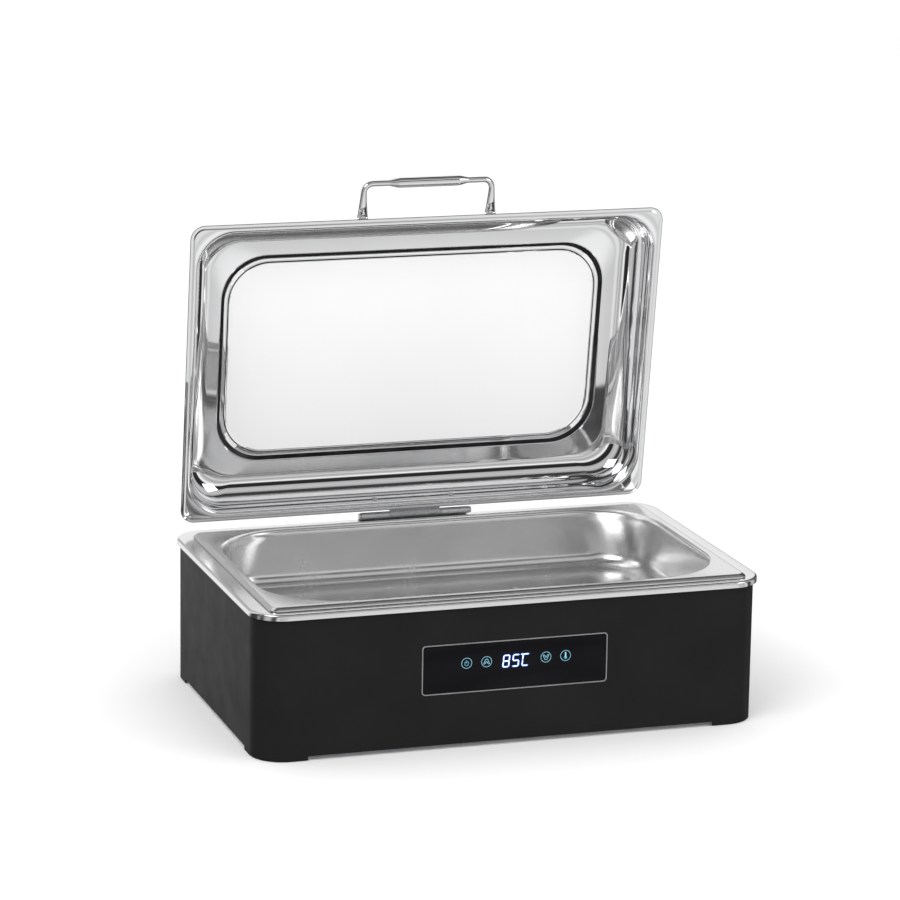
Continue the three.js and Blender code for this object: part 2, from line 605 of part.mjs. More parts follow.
addPart(base, 'mains_lead', tube([
  [INLET.x, INLET_BACK, INLET.z], [INLET.x, 120, INLET.z], [TERMINAL_X.mains, 90, LEAD_Z],
  [TERMINAL_X.mains, BLOCK_REAR, LEAD_Z],
], LEAD.mains, 12), blackPlastic());
addPart(base, 'heater_lead_left', tube([
  [-HEATER.endX, HEATER.rearY, HEATER.endZ - GAP], [-HEATER.endX, HEATER.rearY, LEAD_Z],
  [TERMINAL_X.heaterLeft, HEATER.rearY, LEAD_Z], [TERMINAL_X.heaterLeft, BLOCK_REAR, LEAD_Z],
], LEAD.heater, 8), whiteLead());
addPart(base, 'heater_lead_right', tube([
  [HEATER.endX, HEATER.rearY, HEATER.endZ - GAP], [HEATER.endX, HEATER.rearY, UPPER_LEAD_Z],
  [HEATER.endX, 84, UPPER_LEAD_Z], [TERMINAL_X.heaterRight, 84, UPPER_LEAD_Z],
  [TERMINAL_X.heaterRight, 72, LEAD_Z], [TERMINAL_X.heaterRight, BLOCK_REAR, LEAD_Z],
], LEAD.heater, 5), whiteLead());
addPart(base, 'sensor_lead', tube([
  [PROBE.x, PROBE_Y, UNDER_BASIN - PROBE.lead], [PROBE.x, PROBE_Y, 30], [PROBE.x, -30, 30],
  [PROBE.x, -30, BOARD_TOP + GAP],
], LEAD.sensor, 6), whiteLead());
addPart(base, 'control_cable', tube([
  [CABLE.x, CABLE.y, PANEL.centreZ - TOUCH_BOARD.halfHeight - 1], [CABLE.x, CABLE.y, CABLE.z],
  [CABLE.x, -60, CABLE.z], [100, -14, CABLE.z], [100, -14, BOARD_TOP + GAP],
], LEAD.control, 8), material(0x9a9a9a, 0.6, 0.0));

// ---------------------------------------------------------------- hinge

const PIN_STEPS = 12;

function barrel(x0, x1) {
  return turnedAlongX(rodProfile(HINGE.barrel, x0, x1), 0, HINGE.y, HINGE.z, PIN_STEPS);
}

function pinBore() {
  return turnedAlongX(rodProfile(HINGE.hole, -100, 100), 0, HINGE.y, HINGE.z, PIN_STEPS);
}

const LEAF_Y = REAR_Y + GAP;
const OUTER_Y = RIM.depth / 2 + 0.5;

const KNUCKLE_START = HINGE.lidHalfWidth + HINGE.washerSpace;

function hingeBaseBracket() {
  const { y, halfWidth, plate, leafBottom, jogStart, jogEnd } = HINGE;
  const tabUnder = RIM.top + HINGE.tabUnder;
  const tabTop = RIM.top + HINGE.tabTop;
  const profile = outline([
    [LEAF_Y, leafBottom], [LEAF_Y + plate, leafBottom], [LEAF_Y + plate, jogStart], [OUTER_Y + plate, jogEnd],
    [OUTER_Y + plate, tabTop], [y, tabTop], [y, tabUnder],
    [OUTER_Y, tabUnder], [OUTER_Y, jogEnd + 1], [LEAF_Y, jogStart + 1],
  ]);
  const middle = block(-KNUCKLE_START, KNUCKLE_START, y - 2 * HINGE.barrel, y + HINGE.barrel + 1.5,
    RIM.top, RIM.top + 10);
  const holes = HINGE_SCREWS.map(([, x, z]) => turnedAlongY(rodProfile(SCREW.hole, 0, 6), x, REAR_Y + 4, z));
  const leaf = cut(prismAlongX(profile, -halfWidth, halfWidth), middle, ...holes);
  return cut(join(leaf, barrel(-halfWidth, -KNUCKLE_START), barrel(KNUCKLE_START, halfWidth)), pinBore());
}

const LID_WALL_REAR = LID.centreY + LID.depth / 2 - LID.flange;
const LID_WALL_FRONT = LID.centreY - LID.depth / 2 + LID.flange;
const LID_RIVETS = [['left', -HINGE.rivetX], ['right', HINGE.rivetX]];
const LID_RIVET_Z = LID.underside + HINGE.rivetRise;

function rivetAlongY(x, z, outerFace, innerFace, outward) {
  const { shank, head, headEdge, headHeight, setHeight } = RIVET;
  const inside = Math.abs(outerFace - innerFace) + GAP;
  const setHead = 0.9 * head;
  const profile = [[0, -headHeight - GAP], [0.7 * head, -headHeight - GAP], [head, -headEdge - GAP],
    [head, -GAP], [shank, -GAP], [shank, inside], [setHead, inside], [setHead, inside + setHeight],
    [0, inside + setHeight]];
  const shape = turned(profile);
  return solidOf((outward < 0 ? shape : shape.rotateX(Math.PI)).translate(x, outerFace, z));
}

function hingeLidBracket() {
  const { plate, lidLeafHalfWidth, lidLeafHeight, lidHalfWidth } = HINGE;
  const leafY = LID_WALL_REAR + GAP;
  const armZ = LID.underside + SHEET + GAP;
  const leaf = block(-lidLeafHalfWidth, lidLeafHalfWidth, leafY, leafY + plate, armZ, armZ + lidLeafHeight);
  const arm = block(-lidHalfWidth, lidHalfWidth, leafY, HINGE.y - 1, armZ, armZ + plate);
  const holes = LID_RIVETS.map(([, x]) => turnedAlongY(
    rodProfile(RIVET.hole, 0, 10), x, leafY + 5, LID_RIVET_Z));
  return cut(join(leaf, arm, barrel(-lidHalfWidth, lidHalfWidth)), pinBore(), ...holes);
}

function hingePin() {
  const { pin, pinHead } = HINGE;
  const seat = HINGE.halfWidth + GAP;
  const end = seat + pin;
  const profile = [[0, -end], [pinHead, -end], [pinHead, -seat], [pin, -seat], [pin, seat],
    [pinHead, seat], [pinHead, end], [0, end]];
  return turnedAlongX(profile, 0, HINGE.y, HINGE.z, PIN_STEPS);
}

addPart(base, 'hinge_base_bracket', hingeBaseBracket(), plainSteel());
addPart(base, 'hinge_pin', hingePin(), plainSteel());
for (const [side, sign] of [['left', -1], ['right', 1]]) {
  const centre = sign * (HINGE.lidHalfWidth + HINGE.washerSpace / 2);
  const half = HINGE.washer / 2;
  const washer = turnedAlongX(
    [[HINGE.hole, -half], [HINGE.barrel, -half], [HINGE.barrel, half], [HINGE.hole, half], [HINGE.hole, -half]],
    centre, HINGE.y, HINGE.z, PIN_STEPS);
  addPart(base, `friction_washer_${side}`, washer, zincSteel());
}
for (const [place, x, z] of HINGE_SCREWS) {
  const { shank, head, headHeight, reach } = SCREW;
  const screw = turnedAlongY(
    [[0, 0], [0.75 * head, 0], [head, 0.4 * headHeight], [head, headHeight], [shank, headHeight],
      [shank, reach], [0, reach]],
    x, LEAF_Y + HINGE.plate + GAP + headHeight, z);
  addPart(base, `hinge_screw_${place}`, screw, zincSteel());
}
addPart(lid, 'hinge_lid_bracket', hingeLidBracket(), plainSteel());
for (const [side, x] of LID_RIVETS) {
  const rivet = rivetAlongY(x, LID_RIVET_Z, LID_WALL_REAR + GAP + HINGE.plate, LID_WALL_REAR - SHEET, 1);
  addPart(lid, `hinge_rivet_${side}`, rivet, plainSteel());
}

// ---------------------------------------------------------------- lid and handle

function lidShell() {
  const low = LID.underside;
  const top = low + LID.height - LID.panelRise;
  const wallWidth = LID.width - 2 * LID.flange;
  const wallDepth = LID.depth - 2 * LID.flange;
  const flange = prism(roundedRect(LID.width, LID.depth, LID.corner), low, low + SHEET, LID.centreY);
  const dome = join(
    pillow(wallWidth, wallDepth, LID.wallCorner, low, top, LID.edge, LID.centreY, 3),
    prism(roundedRect(LID.panelWidth, LID.panelDepth, LID.panelCorner),
      top - SHEET, top + LID.panelRise, LID.centreY));
  const hollow = join(
    pillow(wallWidth - 2 * SHEET, wallDepth - 2 * SHEET, LID.wallCorner - SHEET, low - 1, top - SHEET,
      LID.edge - SHEET, LID.centreY, 3),
    prism(roundedRect(LID.panelWidth - 2 * SHEET, LID.panelDepth - 2 * SHEET, LID.panelCorner - SHEET),
      top - 3 * SHEET, top + LID.panelRise - SHEET, LID.centreY));
  const bracketHoles = LID_RIVETS.map(([, x]) => turnedAlongY(
    rodProfile(RIVET.hole, 0, 10), x, LID_WALL_REAR + 5, LID_RIVET_Z));
  const handleHoles = [-1, 1].map((side) => turnedAlongY(
    rodProfile(RIVET.hole, 0, 10), side * HANDLE.halfSpan, LID_WALL_FRONT + 5, low + HANDLE.rivetHeight));
  return cut(join(flange, dome), hollow, ...bracketHoles, ...handleHoles);
}

function lidHandle() {
  const { halfSpan, rod, grip, gripHalf, gripTaper, bend } = HANDLE;
  const z = LID.underside + HANDLE.rise;
  const wallSide = LID_WALL_FRONT - GAP;
  const barY = wallSide - HANDLE.reach;
  const barHalf = halfSpan - bend;
  const legY = wallSide - rod - 0.1;
  const bar = turnedAlongX([
    [0, -barHalf], [rod, -barHalf], [rod, -gripHalf - gripTaper], [grip, -gripHalf], [grip, gripHalf],
    [rod, gripHalf + gripTaper], [rod, barHalf], [0, barHalf],
  ], 0, barY, z, 10);
  const sides = [-1, 1].map((side) => {
    const x = side * halfSpan;
    const leg = tube([
      [side * (barHalf - 1), barY, z], [x, barY, z], [x, legY, z], [x, legY, z - HANDLE.footLap],
    ], rod, bend, 4, 10);
    const foot = block(x - HANDLE.footWidth / 2, x + HANDLE.footWidth / 2,
      wallSide - HANDLE.footThickness, wallSide,
      LID.underside + HANDLE.footBottom, z - 2);
    const hole = turnedAlongY(
      rodProfile(RIVET.hole, 0, 12), x, wallSide + 2, LID.underside + HANDLE.rivetHeight);
    const recess = block(x - HANDLE.recessHalf, x + HANDLE.recessHalf, wallSide - 4 * rod,
      wallSide - HANDLE.footThickness, LID.underside + 2,
      LID.underside + HANDLE.rivetHeight + HANDLE.recessRise);
    return cut(join(cut(leg, recess), foot), hole);
  });
  return join(bar, ...sides);
}

addPart(lid, 'lid_shell', lidShell(), polishedSteel());
addPart(lid, 'lid_handle', lidHandle(), polishedSteel());
for (const [side, sign] of [['left', -1], ['right', 1]]) {
  const outerFace = LID_WALL_FRONT - GAP - HANDLE.footThickness;
  const rivet = rivetAlongY(sign * HANDLE.halfSpan, LID.underside + HANDLE.rivetHeight, outerFace,
    LID_WALL_FRONT + SHEET, -1);
  addPart(lid, `handle_rivet_${side}`, rivet, plainSteel());
}

export default server;
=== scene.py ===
"""Looks for the electric buffet server: fine surfaces, materials, studio and camera.

Metres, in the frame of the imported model: +Z up, +X to the right, the control panel faces -Y.
"""

import json
import math

import bmesh
import bpy
from mathutils import Matrix, Vector


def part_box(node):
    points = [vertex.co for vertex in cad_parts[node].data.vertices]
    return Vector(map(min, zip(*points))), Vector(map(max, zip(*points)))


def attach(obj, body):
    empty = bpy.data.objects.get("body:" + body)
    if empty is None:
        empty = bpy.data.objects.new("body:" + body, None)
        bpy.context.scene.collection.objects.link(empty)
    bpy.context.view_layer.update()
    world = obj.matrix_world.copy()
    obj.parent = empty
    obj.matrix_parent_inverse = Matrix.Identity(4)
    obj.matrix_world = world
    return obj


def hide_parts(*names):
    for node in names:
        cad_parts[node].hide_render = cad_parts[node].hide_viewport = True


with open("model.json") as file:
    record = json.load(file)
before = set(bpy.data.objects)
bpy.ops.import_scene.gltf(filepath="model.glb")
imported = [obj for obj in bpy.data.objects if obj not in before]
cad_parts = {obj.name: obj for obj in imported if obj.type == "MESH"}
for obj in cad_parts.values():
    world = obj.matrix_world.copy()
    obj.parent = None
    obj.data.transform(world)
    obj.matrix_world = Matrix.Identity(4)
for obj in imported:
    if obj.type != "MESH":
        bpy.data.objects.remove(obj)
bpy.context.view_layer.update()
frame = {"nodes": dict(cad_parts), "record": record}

scene = bpy.context.scene
MM = 0.001
CORNER_STEPS = 14


# ---------------------------------------------------------------- camera

CAMERA_PLACE = Vector((-1.2962, -3.8677, 1.2410))
CAMERA_YAW = math.radians(18.38)
CAMERA_PITCH = math.radians(13.34)
CAMERA_ROLL = math.radians(0.89)
CAMERA_LENS = 154.2


def add_camera():
    camera = bpy.data.objects.new("camera", bpy.data.cameras.new("camera"))
    scene.collection.objects.link(camera)
    scene.camera = camera
    camera.data.lens = CAMERA_LENS
    camera.data.sensor_width = 36
    camera.data.clip_end = 100
    forward = Vector((
        math.sin(CAMERA_YAW) * math.cos(CAMERA_PITCH),
        math.cos(CAMERA_YAW) * math.cos(CAMERA_PITCH),
        -math.sin(CAMERA_PITCH),
    ))
    level = Vector((math.cos(CAMERA_YAW), -math.sin(CAMERA_YAW), 0))
    turn = Matrix.Rotation(CAMERA_ROLL, 3, -forward)
    right = turn @ level
    above = turn @ level.cross(forward)
    camera.matrix_world = Matrix.Translation(CAMERA_PLACE) @ Matrix(
        (right, above, -forward)).transposed().to_4x4()


add_camera()


# ---------------------------------------------------------------- materials


def coordinates(nodes, links, scale):
    texture = nodes.new("ShaderNodeTexCoord")
    mapping = nodes.new("ShaderNodeMapping")
    mapping.inputs["Scale"].default_value = scale
    links.new(texture.outputs["Object"], mapping.inputs["Vector"])
    return mapping.outputs["Vector"]


def noise(nodes, links, scale, detail=4.0, stretch=(1, 1, 1)):
    node = nodes.new("ShaderNodeTexNoise")
    node.inputs["Scale"].default_value = scale
    node.inputs["Detail"].default_value = detail
    links.new(coordinates(nodes, links, stretch), node.inputs["Vector"])
    return node.outputs["Fac"]


def spread(nodes, links, source, low, high):
    """Maps the middle of a noise's range to low and high."""
    node = nodes.new("ShaderNodeMapRange")
    node.inputs["From Min"].default_value = 0.3
    node.inputs["From Max"].default_value = 0.7
    node.inputs["To Min"].default_value = low
    node.inputs["To Max"].default_value = high
    links.new(source, node.inputs["Value"])
    return node.outputs["Result"]


def tint(nodes, links, source, dark, light):
    node = nodes.new("ShaderNodeMix")
    node.data_type = "RGBA"
    node.inputs["A"].default_value = (*dark, 1)
    node.inputs["B"].default_value = (*light, 1)
    links.new(source, node.inputs["Factor"])
    return node.outputs["Result"]


def surface(name, dark, light, roughness, metallic=0.0, grain=60, grain_stretch=(1, 1, 1),
            bump=0.0, bump_scale=800, bump_stretch=(1, 1, 1), reflection=0.5):
    """A surface whose colour and roughness wander between two values, with a fine relief."""
    material = bpy.data.materials.new(name)
    material.use_nodes = True
    nodes = material.node_tree.nodes
    links = material.node_tree.links
    shader = nodes["Principled BSDF"]
    shader.inputs["Metallic"].default_value = metallic
    shader.inputs["Specular IOR Level"].default_value = reflection
    patches = spread(nodes, links, noise(nodes, links, grain, 5.0, grain_stretch), 0, 1)
    links.new(tint(nodes, links, patches, dark, light), shader.inputs["Base Color"])
    wear = noise(nodes, links, grain * 2.3, 6.0, grain_stretch)
    links.new(spread(nodes, links, wear, *roughness), shader.inputs["Roughness"])
    if bump:
        relief = nodes.new("ShaderNodeBump")
        relief.inputs["Strength"].default_value = bump
        relief.inputs["Distance"].default_value = 0.1 * MM
        links.new(noise(nodes, links, bump_scale, 3.0, bump_stretch), relief.inputs["Height"])
        links.new(relief.outputs["Normal"], shader.inputs["Normal"])
    return material


def glow(name, colour, strength):
    """A lit mark: plain emission with a slight unevenness along it."""
    material = surface(name, colour, colour, (0.3, 0.4))
    shader = material.node_tree.nodes["Principled BSDF"]
    shader.inputs["Emission Color"].default_value = (*colour, 1)
    shader.inputs["Emission Strength"].default_value = strength
    return material


black_coat = surface("black_coat", (0.0105, 0.0105, 0.0108), (0.0130, 0.0130, 0.0133), (0.40, 0.46),
                     grain=14, bump=0.15, bump_scale=1600, reflection=0.08)
polished_steel = surface("polished_steel", (0.84, 0.845, 0.85), (0.87, 0.875, 0.88), (0.018, 0.04),
                         metallic=1, grain=9, grain_stretch=(1, 1, 3), bump=0.015, bump_scale=2600)
pan_steel = surface("pan_steel", (0.78, 0.78, 0.78), (0.83, 0.83, 0.83), (0.21, 0.28), metallic=1,
                    grain=11, bump=0.03, bump_scale=2200)
rim_steel = surface("rim_steel", (0.80, 0.80, 0.805), (0.84, 0.84, 0.84), (0.13, 0.19), metallic=1,
                    grain=9, grain_stretch=(0.2, 1, 1), bump=0.01, bump_scale=900)
# Dark steel for the outer rows of the lid's hem: painted shade, standing in for the dark reflection along
# that edge.
painted_edge_steel = surface("painted_edge_steel", (0.16, 0.16, 0.17), (0.26, 0.26, 0.27), (0.35, 0.5), metallic=1,
                     grain=90, bump=0.1)
# Near-black steel for the slopes and groove of the lid's panel step: painted dark reflection bands.
painted_band_steel = surface("painted_band_steel", (0.010, 0.010, 0.011), (0.030, 0.030, 0.032), (0.16, 0.28), metallic=0.6,
                     grain=50, bump=0.04)
# Near-white, mostly matt steel under the middle of the lid: a painted bright reflection.
painted_reflection_steel = surface("painted_reflection_steel", (0.95, 0.95, 0.955), (0.98, 0.98, 0.98), (0.30, 0.38), metallic=0.12,
                      grain=7, bump=0.04, bump_scale=1800)
brushed_steel = surface("brushed_steel", (0.50, 0.51, 0.52), (0.62, 0.63, 0.64), (0.22, 0.36), metallic=1,
                        grain=30, grain_stretch=(1, 12, 12), bump=0.15, bump_scale=300,
                        bump_stretch=(1, 14, 14))
zinc_steel = surface("zinc_steel", (0.40, 0.41, 0.43), (0.58, 0.60, 0.62), (0.32, 0.52), metallic=1,
                     grain=110, bump=0.1, bump_scale=900)
black_plastic = surface("black_plastic", (0.012, 0.012, 0.013), (0.02, 0.02, 0.021), (0.42, 0.56),
                        grain=50, bump=0.5, bump_scale=2400)
light_plastic = surface("light_plastic", (0.64, 0.61, 0.54), (0.72, 0.69, 0.62), (0.4, 0.55),
                        grain=50, bump=0.3, bump_scale=2000)
grey_cable = surface("grey_cable", (0.24, 0.24, 0.25), (0.33, 0.33, 0.34), (0.45, 0.6), grain=80, bump=0.3)
circuit_board = surface("circuit_board", (0.008, 0.07, 0.022), (0.02, 0.14, 0.05), (0.28, 0.42),
                        grain=140, bump=0.3, bump_scale=500)
transformer_tape = surface("transformer_tape", (0.50, 0.28, 0.03), (0.66, 0.42, 0.08), (0.3, 0.5),
                           grain=60, grain_stretch=(1, 1, 10), bump=0.2, bump_scale=400)
mineral_wool = surface("mineral_wool", (0.52, 0.47, 0.36), (0.74, 0.69, 0.58), (0.85, 1.0),
                       grain=160, bump=1.0, bump_scale=700)
black_rubber = surface("black_rubber", (0.010, 0.010, 0.010), (0.020, 0.020, 0.020), (0.7, 0.9),
                       grain=120, bump=0.6, bump_scale=1500)
bezel_metal = surface("bezel_metal", (0.26, 0.265, 0.27), (0.34, 0.345, 0.35), (0.3, 0.42), metallic=0.6,
                      grain=40, bump=0.1, bump_scale=900)
panel_glass = surface("panel_glass", (0.0035, 0.0035, 0.0045), (0.0055, 0.0055, 0.0070), (0.03, 0.07),
                      grain=18, reflection=0.08)
icon_light = glow("icon_light", (0.20, 0.43, 0.52), 0.62)
digit_light = glow("digit_light", (0.62, 0.78, 1.0), 1.5)
# A dim blue emission round the digits: a painted glow of light spreading in the glass.
halo_light = glow("halo_light", (0.03, 0.09, 0.50), 0.55)


# ---------------------------------------------------------------- mesh tools


def add_object(name, mesh):
    item = bpy.data.objects.new(name, mesh)
    scene.collection.objects.link(item)
    return item


def finish_mesh(name, work, material, sharp=35, bevel=0.0):
    bmesh.ops.recalc_face_normals(work, faces=work.faces)
    mesh = bpy.data.meshes.new(name)
    work.to_mesh(mesh)
    work.free()
    mesh.materials.append(material)
    mesh.shade_smooth()
    mesh.set_sharp_from_angle(angle=math.radians(sharp))
    item = add_object(name, mesh)
    if bevel:
        rounding = item.modifiers.new("edges", "BEVEL")
        rounding.width = bevel
        rounding.segments = 3
        rounding.limit_method = "ANGLE"
        rounding.angle_limit = math.radians(sharp)
        rounding.harden_normals = True
    return item


def ring(half_x, half_y, corner, z, centre_y=0.0, steps=CORNER_STEPS):
    """Points round a rounded rectangle at height z."""
    points = []
    for quarter, (side_x, side_y) in enumerate(((1, 1), (-1, 1), (-1, -1), (1, -1))):
        for step in range(steps + 1):
            angle = math.pi / 2 * (quarter + step / steps)
            points.append(Vector((
                side_x * (half_x - corner) + corner * math.cos(angle),
                centre_y + side_y * (half_y - corner) + corner * math.sin(angle),
                z,
            )))
    return points


def loft(name, rings, material, cap_first=False, cap_last=False, closed=False, sharp=35, bevel=0.0):
    """Skins rings that all have the same number of points."""
    work = bmesh.new()
    rows = [[work.verts.new(point) for point in points] for points in rings]
    count = len(rows[0])
    pairs = list(zip(rows, rows[1:]))
    if closed:
        pairs.append((rows[-1], rows[0]))
    for lower, upper in pairs:
        for index in range(count):
            after = (index + 1) % count
            work.faces.new((lower[index], lower[after], upper[after], upper[index]))
    if cap_first:
        work.faces.new(reversed(rows[0]))
    if cap_last:
        work.faces.new(rows[-1])
    bmesh.ops.remove_doubles(work, verts=work.verts, dist=1e-7)
    return finish_mesh(name, work, material, sharp, bevel)


def arc(centre, radius, start, end, steps=6):
    """Pairs along an arc, in degrees; the pair is inset and height."""
    angles = [math.radians(start + (end - start) * step / steps) for step in range(steps + 1)]
    return [(centre[0] + radius * math.cos(a), centre[1] + radius * math.sin(a)) for a in angles]


def turned(name, profile, place, axis, material, sides=40, sharp=35):
    """A turned piece. The profile is pairs of radius and distance along the axis."""
    axis = Vector(axis).normalized()
    side = axis.orthogonal().normalized()
    other = axis.cross(side)
    place = Vector(place)
    rings = []
    for radius, along in profile:
        radius = max(radius, 1e-5)
        rings.append([
            place + axis * along + radius * (side * math.cos(turn) + other * math.sin(turn))
            for turn in (2 * math.pi * index / sides for index in range(sides))
        ])
    return loft(name, rings, material, cap_first=True, cap_last=True, sharp=sharp)


def carved(name, item, cutters, sharp=35, bevel=0.0):
    """The object with the cutters taken out of it."""
    for cutter in cutters:
        cut = item.modifiers.new("cut", "BOOLEAN")
        cut.object = cutter
        cut.operation = "DIFFERENCE"
        cut.solver = "EXACT"
    bpy.context.view_layer.update()
    graph = bpy.context.evaluated_depsgraph_get()
    work = bmesh.new()
    work.from_mesh(item.evaluated_get(graph).to_mesh())
    material = item.data.materials[0]
    for used in (item, *cutters):
        bpy.data.objects.remove(used)
    bmesh.ops.dissolve_degenerate(work, dist=1e-6, edges=work.edges)
    return finish_mesh(name, work, material, sharp, bevel)


def stamp(shape, y_front, y_back, centre_x, centre_z):
    """A cutter or plate: a rounded rectangle (width, height, corner) in X and Z, standing along Y."""
    width, height, corner = shape
    flat = ring(width / 2, height / 2, corner, 0, steps=8)
    rings = [[Vector((centre_x + p.x, y, centre_z + p.y)) for p in flat] for y in (y_front, y_back)]
    return loft("stamp", rings, black_coat, cap_first=True, cap_last=True)


def slab(low, high):
    """A plain block between two corners, used to cut with."""
    work = bmesh.new()
    size = Vector(high) - Vector(low)
    middle = (Vector(high) + Vector(low)) / 2
    bmesh.ops.create_cube(work, size=1, matrix=Matrix.Translation(middle) @ Matrix.Diagonal((*size, 1)))
    return finish_mesh("slab", work, black_coat)


def place_piece(item, body, slot, *nodes):
    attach(item, body)
    if nodes:
        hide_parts(*nodes)
    return item


# ---------------------------------------------------------------- housing

housing_low, housing_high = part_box("housing_shell")
RIM_Y = (housing_low.y + housing_high.y) / 2
HALF_X = (housing_high.x - housing_low.x) / 2
HALF_Y = (housing_high.y - housing_low.y) / 2
FRONT_Y = housing_low.y
REAR_Y = housing_high.y
HOUSING_CORNER = 36 * MM
WALL = 1.5 * MM
FLANGE = 14 * MM
FLANGE_LOW = 6.5 * MM
FOOT_LENGTH = 54 * MM
NOTCH = 5 * MM


def housing_ring(inset, z):
    return ring(HALF_X - inset, HALF_Y - inset, HOUSING_CORNER - inset, z, RIM_Y)


def housing():
    bottom = housing_low.z
    top = housing_high.z
    fold = 2.2 * MM
    profile = [(0.4 * MM, bottom), (0, bottom + 0.4 * MM)]
    profile += arc((fold, top - fold), fold, 180, 90)
    profile += [(FLANGE - 0.3 * MM, top), (FLANGE, top - 0.3 * MM), (FLANGE, top - WALL)]
    profile += arc((fold, top - fold), fold - WALL, 90, 180, 3)
    profile += arc((fold, FLANGE_LOW + fold), fold - WALL, 180, 270, 3)
    profile += [(FLANGE, FLANGE_LOW + WALL), (FLANGE, FLANGE_LOW), (WALL, FLANGE_LOW), (WALL, bottom)]
    shell = loft("housing", [housing_ring(*pair) for pair in profile], black_coat, closed=True)
    glass_low, glass_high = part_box("control_glass")
    inlet_low, inlet_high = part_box("mains_inlet")
    window_z = (glass_low.z + glass_high.z) / 2
    window = stamp((205.4 * MM, 53.4 * MM, 4 * MM), FRONT_Y - 5 * MM, FRONT_Y + 5 * MM, 0, window_z)
    inlet = stamp((27.4 * MM, 20.2 * MM, 2 * MM), REAR_Y - 5 * MM, REAR_Y + 5 * MM,
                  (inlet_low.x + inlet_high.x) / 2, (inlet_low.z + inlet_high.z) / 2)
    foot_x = HALF_X - FOOT_LENGTH
    foot_y = HALF_Y - FOOT_LENGTH
    notch_front = stamp((2 * foot_x, 6 * NOTCH, 1.5 * MM), FRONT_Y - 0.05, REAR_Y + 0.05, 0, -2 * NOTCH)
    notch_side = slab((-HALF_X - 0.05, RIM_Y - foot_y, -0.02), (HALF_X + 0.05, RIM_Y + foot_y, NOTCH))
    return carved("housing", shell, [window, inlet, notch_front, notch_side])


place_piece(housing(), "base", "black_coat", "housing_shell")


# ---------------------------------------------------------------- water bath and food pan

bath_low, bath_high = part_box("water_bath")
pan_low, pan_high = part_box("food_pan")
RIM_TOP = bath_high.z
PAN_Y = (pan_low.y + pan_high.y) / 2
SHEET = 1 * MM
BASIN_X = 255 * MM
BASIN_Y = 153 * MM
BASIN_CORNER = 40 * MM




def sheet_piece(name, upper, lower, material):
    """A pressed sheet: upper rings from its middle out to its edge, lower rings back in again."""
    return loft(name, upper + lower, material, cap_first=True, cap_last=True)


def water_bath():
    half_x = (bath_high.x - bath_low.x) / 2
    half_y = (bath_high.y - bath_low.y) / 2
    lip_low = RIM_TOP - 7 * MM
    fold = 2.6 * MM
    mouth = 4 * MM
    foot = 12 * MM
    floor = 69.2 * MM

    def rim(inset, z):
        return ring(half_x - inset, half_y - inset, HOUSING_CORNER - inset, z, RIM_Y)

    def basin(inset, z):
        return ring(BASIN_X - inset, BASIN_Y - inset, BASIN_CORNER - inset, z, PAN_Y)

    upper = [basin(*pair) for pair in arc((foot, floor + foot), foot, 270, 180)]
    upper += [basin(*pair) for pair in arc((-mouth, RIM_TOP - mouth), mouth, 0, 90)]
    upper += [rim(*pair) for pair in arc((fold, RIM_TOP - fold), fold, 90, 180)]
    upper += [rim(0, lip_low + 0.3 * MM), rim(0.3 * MM, lip_low)]
    lower = [rim(SHEET, lip_low)]
    lower += [rim(*pair) for pair in arc((fold, RIM_TOP - fold), fold - SHEET, 180, 90, 3)]
    lower += [basin(*pair) for pair in arc((-mouth, RIM_TOP - mouth), mouth - SHEET, 90, 0, 3)]
    lower += [basin(*pair) for pair in arc((foot, floor + foot), foot + SHEET, 180, 270)]
    return sheet_piece("water_bath_tray", upper, lower, rim_steel)


place_piece(water_bath(), "base", "polished_steel", "water_bath")


def food_pan():
    half_x = (pan_high.x - pan_low.x) / 2
    half_y = (pan_high.y - pan_low.y) / 2
    top = pan_high.z
    floor = top - 65 * MM
    fillet = 18 * MM
    edge_corner = 9 * MM
    mouth_x = 256 * MM
    mouth_y = 153.5 * MM
    mouth_corner = 88 * MM
    wall_x = 251 * MM
    wall_y = 148.8 * MM
    wall_corner = 60 * MM
    draw_in = 3.4 * MM

    def edge(inset, drop):
        return ring(half_x - inset, half_y - inset, edge_corner - inset * 0.6, top - drop, PAN_Y)

    def mouth(inset, drop):
        return ring(mouth_x - inset, mouth_y - inset, mouth_corner - inset, top - drop, PAN_Y)

    def wall(inset, z, corner=wall_corner):
        return ring(wall_x - inset, wall_y - inset, corner - inset, z, PAN_Y)

    def skin(out):
        """The rings from the floor to the flange, moved out from the inside face by a thickness."""
        rings = [wall(draw_in - out + pair[0], pair[1] - out)
                 for pair in arc((fillet, floor + fillet), fillet, 270, 180, 8)]
        rings += [
            wall(-out + 0.6 * MM, top - 17 * MM, wall_corner + 8 * MM),
            wall(-out, top - 9 * MM, wall_corner + 19 * MM),
            mouth(4.4 * MM - out, 4.2 * MM + out),
            mouth(3.2 * MM - out * 0.6, 1.8 * MM + out),
            mouth(1.7 * MM - out * 0.3, 0.5 * MM + out),
            mouth(0, out),
        ]
        return rings

    upper = skin(0)
    upper += [edge(4.4 * MM, 0), edge(3.7 * MM, 0), edge(3.1 * MM, 0.35 * MM), edge(0.8 * MM, 2.1 * MM)]
    upper += [edge(0.1 * MM, 2.8 * MM), edge(0, 3.4 * MM), edge(0, 4.3 * MM)]
    lower = [edge(0.4 * MM, 4.5 * MM), edge(SHEET, 4.4 * MM), edge(SHEET, 3.6 * MM)]
    lower += [edge(3.8 * MM, SHEET + 0.3 * MM), edge(4.6 * MM, SHEET)]
    lower += list(reversed(skin(SHEET)))
    return sheet_piece("food_pan_pressed", upper, lower, pan_steel)


place_piece(food_pan(), "base", "polished_steel", "food_pan")


# ---------------------------------------------------------------- lid

